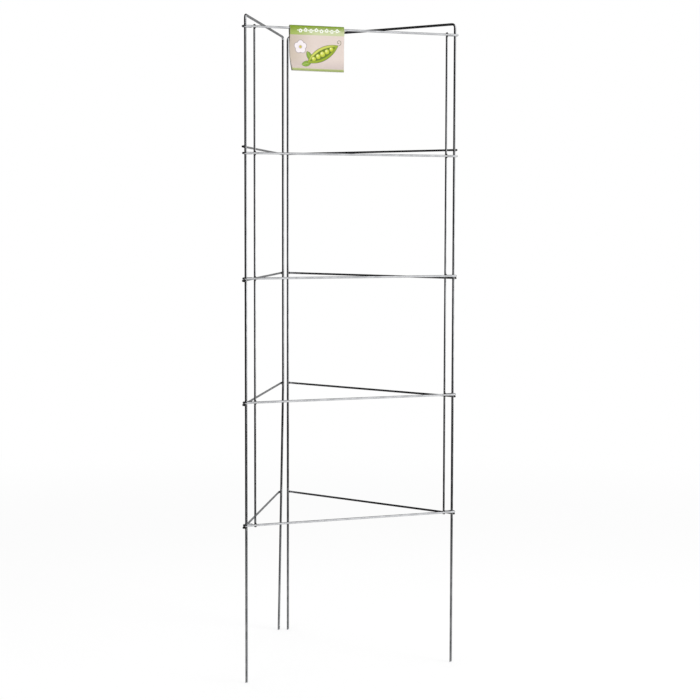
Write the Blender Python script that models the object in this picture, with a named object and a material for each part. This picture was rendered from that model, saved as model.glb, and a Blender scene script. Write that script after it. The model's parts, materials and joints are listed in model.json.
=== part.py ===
"""Pea trellis of three welded wire panels that stand as a triangular tower.

The centre panel is a ladder: five rungs welded across the front of two stiles. Both ends of each
rung are turned back into a hairpin round the front leg of a wing, so the hairpins are the hinges.
A wing is one wire bent into a tall hoop, whose two legs stand on the ground, and four rungs welded
to its outer side. The two free legs stand side by side at the open back corner. A folded card
hangs over the top rung.

Metres, +Z up, the centre panel facing -Y, the origin on the ground in the middle of the footprint.
"""
import math

import bmesh
import bpy
from mathutils import Vector

# Wires
LEG_WIRE = 0.0041
ROD_WIRE = 0.0034

# Panels, measured between the axes of their legs
HEIGHT = 1.067
PANEL_WIDTH = 0.363
REAR_GAP = 0.009
HOOP_BEND_RADIUS = 0.006

# Levels: rung 1 is the top one, the others are evenly spaced, and the wings have no rung 1
RUNG_COUNT = 5
TOP_RUNG_DROP = 0.0201
LOWEST_RUNG_HEIGHT = 0.2565
WING_TOP_RUNG_LIFT = 0.0102
WING_RUNG_OVERHANG = 0.003

# Stiles and hairpins of the centre panel
STILE_INSET = 0.015
STILE_OVERRUN = 0.0037
TAIL_GAP = 0.0015

# The left wing's rear leg is sprung outwards below this level, down to its upright foot
SPRUNG_LEVEL = 4
LEG_SPRING = 0.0082
FOOT_LENGTH = 0.008

# Folded card
CARD_WIDTH = 0.094
CARD_DROP = 0.072
CARD_THICKNESS = 0.0005
CARD_CENTRE_X = -0.0635
CARD_CREASE_HEIGHT = 0.0039
CARD_CREASE_RADIUS = 0.0006
CARD_LOOP_LENGTH = 0.021
CARD_CORNER_CURL = 0.013
FLAP_GAP = 0.0003

# Clearances between pieces
WELD_GAP = 0.0003
HINGE_CLEARANCE = 0.0003
REST_GAP = 0.0003
CARD_CLEARANCE = 0.0003

# Finishes
ZINC_COLOUR = (0.60, 0.61, 0.62)
ZINC_ROUGHNESS = 0.38
CARD_COLOUR = (0.66, 0.66, 0.44)
CARD_ROUGHNESS = 0.55

# Fineness of the round forms
ROUND_SIDES = 14
BEND_STEP = math.radians(15)
CARD_COLUMNS = 8
CARD_ROWS = 6

# Sizes that follow from those above
LEG_RADIUS = LEG_WIRE / 2
ROD_RADIUS = ROD_WIRE / 2
HOOK_RADIUS = LEG_RADIUS + HINGE_CLEARANCE + ROD_RADIUS
WING_RUNG_OFFSET = LEG_RADIUS + WELD_GAP + ROD_RADIUS
HALF_WIDTH = PANEL_WIDTH / 2
HOOP_TOP = HEIGHT - LEG_RADIUS
RUNG_PITCH = (HEIGHT - TOP_RUNG_DROP - LOWEST_RUNG_HEIGHT) / (RUNG_COUNT - 1)
WING_ANGLE = math.acos((PANEL_WIDTH - REAR_GAP) / (2 * PANEL_WIDTH))
CARD_SEAT_RADIUS = ROD_RADIUS + CARD_CLEARANCE + CARD_THICKNESS / 2
CARD_CREASE_TURN = math.asin((CARD_SEAT_RADIUS - CARD_CREASE_RADIUS) / CARD_CREASE_HEIGHT)


def centre_rung_height(level):
    """Height of a rung of the centre panel, counted from 1 at the top."""
    return LOWEST_RUNG_HEIGHT + (RUNG_COUNT - level) * RUNG_PITCH


def wing_rung_height(level):
    """Each hairpin rests on the wing's rung, except at level 2, where it is held down under one."""
    if level == 2:
        return centre_rung_height(level) + WING_TOP_RUNG_LIFT
    return centre_rung_height(level) - ROD_WIRE - REST_GAP


def leg_spring(height, spring):
    """How far the rear leg stands outwards at a height: none at the sprung level, most at the foot."""
    pivot = wing_rung_height(SPRUNG_LEVEL)
    share = (pivot - height) / (pivot - FOOT_LENGTH)
    return spring * min(1.0, max(0.0, share))


def footprint_depth_centre():
    """Middle of the footprint along Y, from the card's curled corner to the lowest rung's end."""
    front = -HOOK_RADIUS - CARD_CORNER_CURL - FLAP_GAP / 2 - CARD_THICKNESS
    rung_end = PANEL_WIDTH + WING_RUNG_OVERHANG
    sprung = leg_spring(wing_rung_height(RUNG_COUNT), LEG_SPRING)
    outer_face = WING_RUNG_OFFSET + sprung + ROD_RADIUS
    back = rung_end * math.sin(WING_ANGLE) + outer_face * math.cos(WING_ANGLE)
    return (front + back) / 2


def clear_scene():
    for item in list(bpy.data.objects):
        bpy.data.objects.remove(item, do_unlink=True)


def make_material(name, colour, roughness, metallic):
    material = bpy.data.materials.new(name)
    material.use_nodes = True
    shader = material.node_tree.nodes["Principled BSDF"]
    shader.inputs["Base Color"].default_value = (*colour, 1.0)
    shader.inputs["Roughness"].default_value = roughness
    shader.inputs["Metallic"].default_value = metallic
    return material


def make_pivot(name, location, turn=0.0):
    """Empty on a joint's axis, which carries the pieces that move with it."""
    pivot = bpy.data.objects.new(name, None)
    pivot.location = location
    pivot.rotation_euler = (0.0, 0.0, turn)
    bpy.context.scene.collection.objects.link(pivot)
    return pivot


def arc(centre, radius, start, end, first_axis, second_axis):
    """Points on an arc in the plane of two axes, both ends included."""
    steps = max(1, round(abs(end - start) / BEND_STEP))
    points = []
    for step in range(steps + 1):
        angle = start + (end - start) * step / steps
        points.append(centre + radius * (math.cos(angle) * first_axis + math.sin(angle) * second_axis))
    return points


def make_wire(name, points, diameter, material, parent):
    """Round wire along the points, with square-cut ends."""
    curve = bpy.data.curves.new(name, "CURVE")
    curve.dimensions = "3D"
    curve.bevel_depth = diameter / 2
    curve.bevel_resolution = (ROUND_SIDES - 4) // 2
    curve.use_fill_caps = True
    spline = curve.splines.new("POLY")
    spline.points.add(len(points) - 1)
    for slot, point in zip(spline.points, points):
        slot.co = (*point, 1.0)
    spline.use_smooth = True
    curve.materials.append(material)
    wire = bpy.data.objects.new(name, curve)
    wire.parent = parent
    bpy.context.scene.collection.objects.link(wire)


def make_centre_stile(name, side, material, parent):
    """Short upright behind the rungs, reaching just past the top and bottom ones."""
    x = side * (HALF_WIDTH - STILE_INSET)
    y = -HOOK_RADIUS + ROD_WIRE + WELD_GAP
    top = centre_rung_height(1) + STILE_OVERRUN
    bottom = centre_rung_height(RUNG_COUNT) - STILE_OVERRUN
    make_wire(name, [Vector((x, y, bottom)), Vector((x, y, top))], ROD_WIRE, material, parent)


def make_centre_rung(name, level, material, parent):
    """Rung in front of the legs whose two ends turn back round them and stop short of the stiles."""
    height = centre_rung_height(level)
    tail_x = HALF_WIDTH - STILE_INSET + ROD_RADIUS + TAIL_GAP
    right = Vector((1, 0, 0))
    back = Vector((0, 1, 0))
    left_leg = Vector((-HALF_WIDTH, 0, height))
    right_leg = Vector((HALF_WIDTH, 0, height))
    quarter = math.pi / 2
    points = [Vector((-tail_x, HOOK_RADIUS, height))]
    points += arc(left_leg, HOOK_RADIUS, quarter, 3 * quarter, right, back)
    points += arc(right_leg, HOOK_RADIUS, -quarter, quarter, right, back)
    points.append(Vector((tail_x, HOOK_RADIUS, height)))
    make_wire(name, points, ROD_WIRE, material, parent)


def make_hoop(name, side, spring, material, parent):
    """Front leg, top and rear leg in one wire, with two tight bends, along the wing's own +X."""
    out = Vector((0, side, 0))
    along = Vector((1, 0, 0))
    up = Vector((0, 0, 1))
    bend_height = HOOP_TOP - HOOP_BEND_RADIUS
    rear_x = PANEL_WIDTH - HOOP_BEND_RADIUS
    front_bend = Vector((HOOP_BEND_RADIUS, 0, bend_height))
    rear_bend = Vector((rear_x, 0, bend_height))
    quarter = math.pi / 2
    points = [Vector((0, 0, 0))]
    points += arc(front_bend, HOOP_BEND_RADIUS, 2 * quarter, quarter, along, up)
    points += arc(rear_bend, HOOP_BEND_RADIUS, quarter, 0, along, up)
    for height in (wing_rung_height(SPRUNG_LEVEL), FOOT_LENGTH, 0.0):
        points.append(Vector((PANEL_WIDTH, 0, height)) + out * leg_spring(height, spring))
    make_wire(name, points, LEG_WIRE, material, parent)


def make_wing_rung(name, level, side, spring, material, parent):
    """Straight rung on the outer side of both legs, its ends standing a little past them."""
    height = wing_rung_height(level)
    front = Vector((0, side * WING_RUNG_OFFSET, height))
    rear = Vector((PANEL_WIDTH, side * (WING_RUNG_OFFSET + leg_spring(height, spring)), height))
    overhang = (rear - front).normalized() * WING_RUNG_OVERHANG
    make_wire(name, [front - overhang, rear + overhang], ROD_WIRE, material, parent)


def make_wing(prefix, side, spring, material, frame_y):
    """One wing on its pivot: side is 1 for the left wing and -1 for the right one."""
    turn = WING_ANGLE if side > 0 else math.pi - WING_ANGLE
    pivot = make_pivot(prefix + "_pivot", (-side * HALF_WIDTH, frame_y, 0), turn)
    make_hoop(prefix + "_hoop", side, spring, material, pivot)
    for level in range(2, RUNG_COUNT + 1):
        make_wing_rung(f"{prefix}_rung_{level}", level, side, spring, material, pivot)


def card_section():
    """Middle line of the folded card seen from its end, from the front flap's edge to the back's.

    The crease stands a little above the rung, which the flaps straddle. They close in below it and
    hang together.
    """
    half_flap = (CARD_THICKNESS + FLAP_GAP) / 2
    fold_top = CARD_CREASE_HEIGHT + CARD_CREASE_RADIUS + CARD_THICKNESS / 2
    pinch = fold_top - CARD_LOOP_LENGTH
    edge = fold_top - CARD_DROP
    flap = []
    for row in range(CARD_ROWS + 1):
        flap.append((-half_flap, edge + (pinch - edge) * row / CARD_ROWS))
    rung_axis = Vector((0, 0, 0))
    crease_axis = Vector((0, 0, CARD_CREASE_HEIGHT))
    across = Vector((0, 1, 0))
    up = Vector((0, 0, 1))
    turn = CARD_CREASE_TURN
    fold = arc(rung_axis, CARD_SEAT_RADIUS, math.pi, math.pi - turn, across, up)
    fold += arc(crease_axis, CARD_CREASE_RADIUS, math.pi - turn, turn, across, up)
    fold += arc(rung_axis, CARD_SEAT_RADIUS, turn, 0, across, up)
    back = [(-y, z) for y, z in reversed(flap)]
    return flap + [(point.y, point.z) for point in fold] + back, pinch, edge


def make_card(name, material, parent):
    """Sheet swept along the rung, curled forwards at its lower left corner, then given its wall."""
    section, pinch, edge = card_section()
    mesh = bpy.data.meshes.new(name)
    bm = bmesh.new()
    verts = [bm.verts.new((-CARD_WIDTH / 2, y, z)) for y, z in section]
    edges = [bm.edges.new(pair) for pair in zip(verts, verts[1:])]
    for _ in range(CARD_COLUMNS):
        swept = bmesh.ops.extrude_edge_only(bm, edges=edges)["geom"]
        moved = [item for item in swept if isinstance(item, bmesh.types.BMVert)]
        bmesh.ops.translate(bm, verts=moved, vec=(CARD_WIDTH / CARD_COLUMNS, 0, 0))
        edges = [item for item in swept if isinstance(item, bmesh.types.BMEdge)]
    for vert in bm.verts:
        down = max(0.0, (pinch - vert.co.z) / (pinch - edge))
        leftward = 0.5 - vert.co.x / CARD_WIDTH
        vert.co.y -= CARD_CORNER_CURL * (down * leftward) ** 2
    bmesh.ops.recalc_face_normals(bm, faces=bm.faces)
    bm.to_mesh(mesh)
    bm.free()
    mesh.shade_smooth()
    mesh.materials.append(material)
    card = bpy.data.objects.new(name, mesh)
    card.parent = parent
    bpy.context.scene.collection.objects.link(card)
    wall = card.modifiers.new("wall", "SOLIDIFY")
    wall.thickness = CARD_THICKNESS
    wall.offset = 0.0
    wall.use_even_offset = True


def build_trellis():
    clear_scene()
    zinc = make_material("zinc_wire", ZINC_COLOUR, ZINC_ROUGHNESS, 1.0)
    board = make_material("card", CARD_COLOUR, CARD_ROUGHNESS, 0.0)
    frame_y = -footprint_depth_centre()

    centre = make_pivot("centre_pivot", (0, frame_y, 0))
    make_centre_stile("centre_stile_left", -1, zinc, centre)
    make_centre_stile("centre_stile_right", 1, zinc, centre)
    for level in range(1, RUNG_COUNT + 1):
        make_centre_rung(f"centre_rung_{level}", level, zinc, centre)

    make_wing("left_wing", 1, LEG_SPRING, zinc, frame_y)
    make_wing("right_wing", -1, 0.0, zinc, frame_y)

    card_place = (CARD_CENTRE_X, frame_y - HOOK_RADIUS, centre_rung_height(1))
    make_card("tag_card", board, make_pivot("tag_pivot", card_place))


build_trellis()
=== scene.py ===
import json
import math

import bmesh
import bpy
from mathutils import Matrix, Vector, noise


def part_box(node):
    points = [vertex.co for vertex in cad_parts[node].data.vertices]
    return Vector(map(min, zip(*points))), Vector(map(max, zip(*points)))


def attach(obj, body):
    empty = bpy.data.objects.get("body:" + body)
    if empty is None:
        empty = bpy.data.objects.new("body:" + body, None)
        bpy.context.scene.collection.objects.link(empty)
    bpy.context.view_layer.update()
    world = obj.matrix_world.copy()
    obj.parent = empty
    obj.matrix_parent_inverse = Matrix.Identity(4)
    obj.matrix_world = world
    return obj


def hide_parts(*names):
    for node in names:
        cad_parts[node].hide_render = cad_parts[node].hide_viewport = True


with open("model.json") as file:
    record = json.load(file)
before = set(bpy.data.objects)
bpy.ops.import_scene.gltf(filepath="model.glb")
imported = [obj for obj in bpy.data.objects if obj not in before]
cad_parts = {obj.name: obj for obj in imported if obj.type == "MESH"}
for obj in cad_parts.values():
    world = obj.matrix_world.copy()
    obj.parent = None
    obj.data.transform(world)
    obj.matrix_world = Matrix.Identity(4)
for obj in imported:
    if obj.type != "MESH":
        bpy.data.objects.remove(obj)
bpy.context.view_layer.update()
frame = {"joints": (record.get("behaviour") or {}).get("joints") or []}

scene = bpy.context.scene
scene.view_settings.view_transform = "Standard"


# Camera
# It stands a little left of the centre panel, about three metres away, and at seven tenths of the
# trellis's height, with a lens long enough to keep the tall legs nearly upright.
FRAME_PIXELS = 700
FOCAL_PIXELS = 1767.3
SENSOR_WIDTH = 36.0
CAMERA_PLACE = Vector((-1.0768, -2.8101, 0.7591))
CAMERA_TURN = math.radians(-22.003)
CAMERA_TILT = math.radians(-4.506)
CAMERA_ROLL = math.radians(0.137)

camera_data = bpy.data.cameras.new("camera")
camera_data.sensor_width = SENSOR_WIDTH
camera_data.lens = SENSOR_WIDTH * FOCAL_PIXELS / FRAME_PIXELS
camera = bpy.data.objects.new("camera", camera_data)
scene.collection.objects.link(camera)
camera.matrix_world = (
    Matrix.Translation(CAMERA_PLACE)
    @ Matrix.Rotation(CAMERA_TURN, 4, "Z")
    @ Matrix.Rotation(math.pi / 2 + CAMERA_TILT, 4, "X")
    @ Matrix.Rotation(CAMERA_ROLL, 4, "Z")
)
scene.camera = camera


# Studio
# White paper under a white sky, lit by two large soft lamps and a weak one overhead. Reflections
# show a wide tent instead: black cloth over grey ground, white on the right behind a dark table,
# two white sheets and a strip of lit floor in front, and two dimmer sheets at the back.
RIGHT, BACK, UP = Vector((1, 0, 0)), Vector((0, 1, 0)), Vector((0, 0, 1))
WHITE = (1, 1, 1, 1)
SKY_FOR_MATT_THINGS = 0.42
FLOOR_RADIUS = 14.0
FLOOR_SEGMENTS = 96
FLOOR_PAPER = (0.97, 0.97, 0.97, 1)
FLOOR_GLOW_REACH = (0.5, 2.6)
FLOOR_GLOW_LEAST = 0.68

# The tent's sides and heights are places on scales that run from 0 to 1 across the whole ball.
TENT_RADIUS = 12.0
TENT_SEGMENTS = 64
TENT_RINGS = 32
TENT_CENTRE = Vector((0.0, 0.0, 0.55))
WHITE_SIDE = Vector((0.951, -0.309, 0.0))
WHITE_SIDE_SHADES = ((0.0, 0.006), (0.64, 0.008), (0.74, 0.03), (0.805, 0.22), (0.86, 0.85), (0.90, 1.0))
WHITE_SIDE_NARROWS = (0.50, 0.545)
WHITE_SIDE_NARROWING = 0.085
TABLE_ENDS = (0.62, 0.74)
TABLE_HEIGHTS = ((0.380, 0.0), (0.394, 1.0), (0.436, 1.0), (0.458, 0.0))
GROUND_SIDE_SHADES = ((0.0, 0.24), (0.80, 0.26), (0.90, 0.40))
GROUND_HEIGHTS = ((0.335, 0.0), (0.35, 1.0), (0.381, 1.0), (0.393, 0.0))
FRONT_SHEETS_ACROSS = (0.54, 0.61)
FRONT_SHEETS_AHEAD = (0.36, 0.46)
FRONT_SHEET_HEIGHTS = (
    (0.0, 1.0), (0.32, 1.1), (0.345, 0.0), (0.57, 0.0), (0.60, 1.3), (0.90, 1.3), (0.96, 0.1))
FRONT_FLOOR_AHEAD = (0.5, 0.6)
FRONT_FLOOR_HEIGHTS = ((0.0, 0.85), (0.26, 0.85), (0.31, 0.0))
GREY_SHEET_SIDE = Vector((0.485, 0.875, 0.0))
GREY_SHEET_ENDS = (0.95, 0.985)
GREY_SHEET = 0.27
BACK_SHEET_SIDE = Vector((-0.174, 0.985, 0.0))
BACK_SHEET_ENDS = (0.945, 0.985)
BACK_SHEET = 0.6

LAMP_AIM = Vector((0.0, 0.0, 0.5))
# Each lamp's place, width and watts.
LAMPS = {
    "lamp_front_right": (Vector((2.2, -2.6, 2.2)), 1.6, 60),
    "lamp_front_left": (Vector((-2.6, -2.0, 1.6)), 1.6, 22),
    "lamp_overhead": (Vector((0.0, 0.4, 3.2)), 1.8, 45),
}


def add_nodes(tree, *kinds):
    """New nodes of these kinds, one after the other."""
    return [tree.nodes.new("ShaderNode" + kind) for kind in kinds]


def wire_up(tree, *pairs):
    """Joins each output to its input."""
    for output, socket in pairs:
        tree.links.new(output, socket)


def maths(tree, operation, *values):
    """A Math node on sockets or numbers, and its output."""
    node = tree.nodes.new("ShaderNodeMath")
    node.operation = operation
    for socket, value in zip(node.inputs, values):
        if isinstance(value, bpy.types.NodeSocket):
            tree.links.new(value, socket)
        else:
            socket.default_value = value
    return node.outputs[0]


def ramp_of(tree, value, low, high, at_low=0.0, at_high=1.0):
    """A soft step from one value to another."""
    node = tree.nodes.new("ShaderNodeMapRange")
    node.interpolation_type = "SMOOTHSTEP"
    tree.links.new(value, node.inputs["Value"])
    for socket, number in zip(("From Min", "From Max", "To Min", "To Max"), (low, high, at_low, at_high)):
        node.inputs[socket].default_value = number
    return node.outputs["Result"]


def shade_ramp(tree, value, shades):
    """A grey for each place on a scale from 0 to 1."""
    node = tree.nodes.new("ShaderNodeValToRGB")
    stops = node.color_ramp.elements
    while len(stops) < len(shades):
        stops.new(0.5)
    for stop, (place, shade) in zip(list(stops), shades):
        stop.position = place
        stop.color = (shade, shade, shade, 1)
    tree.links.new(value, node.inputs["Fac"])
    return node.outputs["Color"]


def blend_of(tree, share, first, second):
    """Two colours mixed by a share, each of them a socket or a colour."""
    node = tree.nodes.new("ShaderNodeMix")
    node.data_type = "RGBA"
    sockets = [socket for socket in node.inputs if socket.type == "RGBA"]
    tree.links.new(share, node.inputs["Factor"])
    for socket, colour in zip(sockets, (first, second)):
        if isinstance(colour, bpy.types.NodeSocket):
            tree.links.new(colour, socket)
        else:
            socket.default_value = colour
    return next(socket for socket in node.outputs if socket.type == "RGBA")


def seen_directly(tree):
    """1 for the camera, for reflections and through glass, and 0 for soft light."""
    path = tree.nodes.new("ShaderNodeLightPath")
    camera_or_gloss = maths(tree, "MAXIMUM", path.outputs["Is Camera Ray"], path.outputs["Is Glossy Ray"])
    return maths(tree, "MAXIMUM", camera_or_gloss, path.outputs["Is Transmission Ray"])


def blank_material(name):
    """A material with nothing in it but its output."""
    material = bpy.data.materials.new(name)
    material.use_nodes = True
    material.node_tree.nodes.clear()
    return material, material.node_tree, material.node_tree.nodes.new("ShaderNodeOutputMaterial")


def place_mesh(name, bm, *materials):
    """The finished mesh as an object at the origin."""
    mesh = bpy.data.meshes.new(name)
    bm.to_mesh(mesh)
    bm.free()
    for material in materials:
        mesh.materials.append(material)
    thing = bpy.data.objects.new(name, mesh)
    scene.collection.objects.link(thing)
    return thing


def make_sky():
    """White where it is looked at, and a plain grey light for matt things."""
    world = bpy.data.worlds.new("sky")
    world.use_nodes = True
    scene.world = world
    tree = world.node_tree
    tree.nodes.clear()
    soft, white, mix, output = add_nodes(tree, "Background", "Background", "MixShader", "OutputWorld")
    soft.inputs["Strength"].default_value = SKY_FOR_MATT_THINGS
    soft.inputs["Color"].default_value = WHITE
    white.inputs["Color"].default_value = WHITE
    wire_up(
        tree,
        (seen_directly(tree), mix.inputs[0]),
        (soft.outputs[0], mix.inputs[1]),
        (white.outputs[0], mix.inputs[2]),
        (mix.outputs[0], output.inputs["Surface"]),
    )


def make_floor():
    """White paper that holds the shadow near the trellis and is lost in the sky further out."""
    bm = bmesh.new()
    bmesh.ops.create_circle(bm, cap_ends=True, segments=FLOOR_SEGMENTS, radius=FLOOR_RADIUS)
    material, tree, output = blank_material("studio_floor")
    paper, glow, mix, place, length = add_nodes(
        tree, "BsdfDiffuse", "Emission", "MixShader", "TexCoord", "VectorMath")
    paper.inputs["Color"].default_value = FLOOR_PAPER
    length.operation = "LENGTH"
    reach = ramp_of(tree, length.outputs["Value"], *FLOOR_GLOW_REACH, FLOOR_GLOW_LEAST)
    wire_up(
        tree,
        (place.outputs["Object"], length.inputs[0]),
        (maths(tree, "MULTIPLY", seen_directly(tree), reach), mix.inputs[0]),
        (paper.outputs[0], mix.inputs[1]),
        (glow.outputs[0], mix.inputs[2]),
        (mix.outputs[0], output.inputs["Surface"]),
    )
    floor = place_mesh("studio_floor", bm, material)
    floor.visible_glossy = False


def make_tent():
    """A ball of cloth far round the trellis, shaded by its sides and its height."""
    bm = bmesh.new()
    bmesh.ops.create_uvsphere(bm, u_segments=TENT_SEGMENTS, v_segments=TENT_RINGS, radius=TENT_RADIUS)
    bmesh.ops.translate(bm, verts=bm.verts, vec=TENT_CENTRE)
    material, tree, output = blank_material("studio_tent")
    place, centred, glow = add_nodes(tree, "TexCoord", "VectorMath", "Emission")
    centred.operation = "SUBTRACT"
    centred.inputs[1].default_value = TENT_CENTRE
    scales = []
    for direction in (WHITE_SIDE, GREY_SHEET_SIDE, BACK_SHEET_SIDE, RIGHT, -BACK, UP):
        toward, = add_nodes(tree, "VectorMath")
        toward.operation = "DOT_PRODUCT"
        toward.inputs[1].default_value = direction
        wire_up(tree, (centred.outputs["Vector"], toward.inputs[0]))
        scales.append(maths(tree, "MULTIPLY_ADD", toward.outputs["Value"], 0.5 / TENT_RADIUS, 0.5))
    white, grey, back, right, ahead, height = scales

    narrowing = ramp_of(tree, height, *WHITE_SIDE_NARROWS, 0.0, WHITE_SIDE_NARROWING)
    white = maths(tree, "SUBTRACT", white, narrowing)
    table_heights = shade_ramp(tree, height, TABLE_HEIGHTS)
    table = maths(tree, "MULTIPLY", ramp_of(tree, right, *TABLE_ENDS), table_heights)
    white_cloth = shade_ramp(tree, white, WHITE_SIDE_SHADES)
    cloth = maths(tree, "MULTIPLY", white_cloth, maths(tree, "SUBTRACT", 1.0, table))
    ground = shade_ramp(tree, white, GROUND_SIDE_SHADES)
    shade = blend_of(tree, shade_ramp(tree, height, GROUND_HEIGHTS), cloth, ground)

    across = ramp_of(tree, right, *FRONT_SHEETS_ACROSS)
    sheets = maths(tree, "MULTIPLY", across, ramp_of(tree, ahead, *FRONT_SHEETS_AHEAD))
    sheets = maths(tree, "MULTIPLY", sheets, shade_ramp(tree, height, FRONT_SHEET_HEIGHTS))
    floor_heights = shade_ramp(tree, height, FRONT_FLOOR_HEIGHTS)
    floor = maths(tree, "MULTIPLY", ramp_of(tree, ahead, *FRONT_FLOOR_AHEAD), floor_heights)
    grey_sheet = ramp_of(tree, grey, *GREY_SHEET_ENDS, 0.0, GREY_SHEET)
    back_sheet = ramp_of(tree, back, *BACK_SHEET_ENDS, 0.0, BACK_SHEET)
    for lit in (sheets, grey_sheet, back_sheet, floor):
        shade = maths(tree, "MAXIMUM", shade, lit)
    wire_up(
        tree,
        (place.outputs["Object"], centred.inputs[0]),
        (shade, glow.inputs["Color"]),
        (glow.outputs[0], output.inputs["Surface"]),
    )
    tent = place_mesh("studio_tent", bm, material)
    for ray in ("camera", "diffuse", "transmission", "volume_scatter", "shadow"):
        setattr(tent, "visible_" + ray, False)
    material.cycles.emission_sampling = "NONE"


def make_lamp(name, place, width, watts):
    """A large soft lamp that shines at the trellis and isn't seen in it."""
    data = bpy.data.lights.new(name, "AREA")
    data.shape = "SQUARE"
    data.size = width
    data.energy = watts
    lamp = bpy.data.objects.new(name, data)
    scene.collection.objects.link(lamp)
    lamp.visible_glossy = False
    lamp.location = place
    lamp.rotation_euler = (LAMP_AIM - place).to_track_quat("-Z", "Y").to_euler()


make_sky()
make_floor()
make_tent()
for lamp_name, setting in LAMPS.items():
    make_lamp(lamp_name, *setting)


# Zinc wire
# Drawn steel wire with a bright zinc coating, fed through straightening rolls and bent cold. It
# keeps faint lines along its length, cloudy patches, and burnt marks where it was welded.
LEG_WIRE = 0.0041
ROD_WIRE = 0.0034
WIRE_SIDES = 24
FEED_STEP = 0.002
BEND_STEP = math.radians(7.5)
FEWEST_BEND_STEPS = 2
BEND_FLATTENING = 0.05
CUT_CHAMFER = 0.0003
CUT_SLANT = math.radians(6)
FAR_FROM_WELDS = 0.05

# A noise is given by its scale, its detail and its roughness.
LINE_STRETCH = (25.0, 4200.0, 4200.0)
LINE_NOISE = (1.0, 3.0, 0.6)
LINE_DEPTH = 0.000009
CLOUD_NOISE = (70.0, 3.0, 0.5)
CLOUD_EDGES = (0.34, 0.66)
BRIGHT_ZINC = (0.77, 0.78, 0.80, 1)
DULL_ZINC = (0.61, 0.62, 0.64, 1)
BRIGHT_ROUGHNESS = 0.11
DULL_ROUGHENING = 0.08

MARK_NOISE = (420.0, 2.0, 0.5)
MARK_RAGGEDNESS = 0.003
BURN_REACH = (0.0018, 0.0034)
BURNT_ZINC = (0.018, 0.016, 0.015, 1)
BURN_ROUGHENING = 0.25
BURN_DULLING = 0.6
HAZE_REACH = (0.003, 0.011)
WHITE_HAZE = (0.46, 0.46, 0.45, 1)
HAZE_COVER = 0.35
HAZE_ROUGHENING = 0.10

SHEARED_STEEL = (0.24, 0.235, 0.23, 1)
TORN_STEEL = (0.09, 0.083, 0.078, 1)
TORN_NOISE = (2600.0, 4.0, 0.65)
TORN_RAGGEDNESS = 0.0014
TORN_EDGE = (-0.0004, 0.0002)
TORN_DEPTH = 0.00012
SHEARED_ROUGHNESS = 0.3
TORN_ROUGHENING = 0.25
RUST_TINT = (0.08, 0.03, 0.012, 1)
RUST_NOISE = (900.0, 3.0, 0.5)
RUST_EDGES = (0.52, 0.68)
RUST_COVER = 0.7
RUST_DULLING = 0.9


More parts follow.
